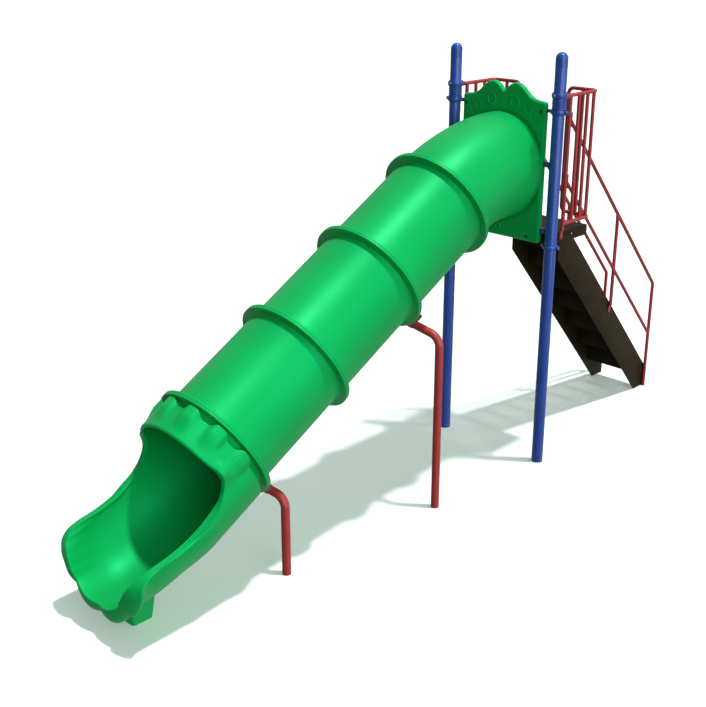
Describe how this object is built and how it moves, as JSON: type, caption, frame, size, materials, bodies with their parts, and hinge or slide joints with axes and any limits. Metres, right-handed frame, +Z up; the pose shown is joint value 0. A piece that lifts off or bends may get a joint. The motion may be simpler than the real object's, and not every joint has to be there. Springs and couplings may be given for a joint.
{
  "type": "tube playground slide",
  "caption": "Enclosed straight tube slide from a raised deck between posts, with a fluted hood at the open exit, bent supports and a steep stair with handrails behind.",
  "frame": {"origin": "on the ground, under the middle of the whole object's box", "axes": "+Z up; +Y runs along the slide's length from its exit towards the foot of the stair; +X is on the right of someone who looks up the slide, the side of the bent supports"},
  "size_m": [1.1362, 5.88, 3.2],
  "materials": {
    "green_plastic": "moulded polyethylene with a soft gloss",
    "blue_paint": "baked powder paint",
    "red_coating": "baked powder paint",
    "brown_coating": "thick dipped vinyl coating on steel"
  },
  "bodies": {
    "root": {"post_left": "blue_paint", "post_right": "blue_paint", "post_cap_left": "blue_paint", "post_cap_right": "blue_paint", "upper_clamp_left": "blue_paint", "upper_clamp_right": "blue_paint", "deck_clamp_left": "blue_paint", "deck_clamp_right": "blue_paint", "panel_clip_left_upper": "blue_paint", "panel_clip_left_lower": "blue_paint", "panel_clip_right_upper": "blue_paint", "panel_clip_right_lower": "blue_paint", "entrance_panel": "green_plastic", "tube_elbow": "green_plastic", "tube_section_1": "green_plastic", "tube_section_2": "green_plastic", "tube_section_3": "green_plastic", "exit_chute": "green_plastic", "exit_foot": "green_plastic", "mid_support": "red_coating", "mid_saddle": "red_coating", "low_support": "red_coating", "low_saddle": "red_coating", "deck": "brown_coating", "stair_stringer_left": "brown_coating", "stair_stringer_right": "brown_coating", "stair_tread_1": "brown_coating", "stair_tread_2": "brown_coating", "stair_tread_3": "brown_coating", "stair_tread_4": "brown_coating", "stair_tread_5": "brown_coating", "stair_tread_6": "brown_coating", "stair_tread_7": "brown_coating", "guardrail_left": "red_coating", "guardrail_right": "red_coating", "handrail_left": "red_coating", "handrail_right": "red_coating"}
  },
  "joints": []
}
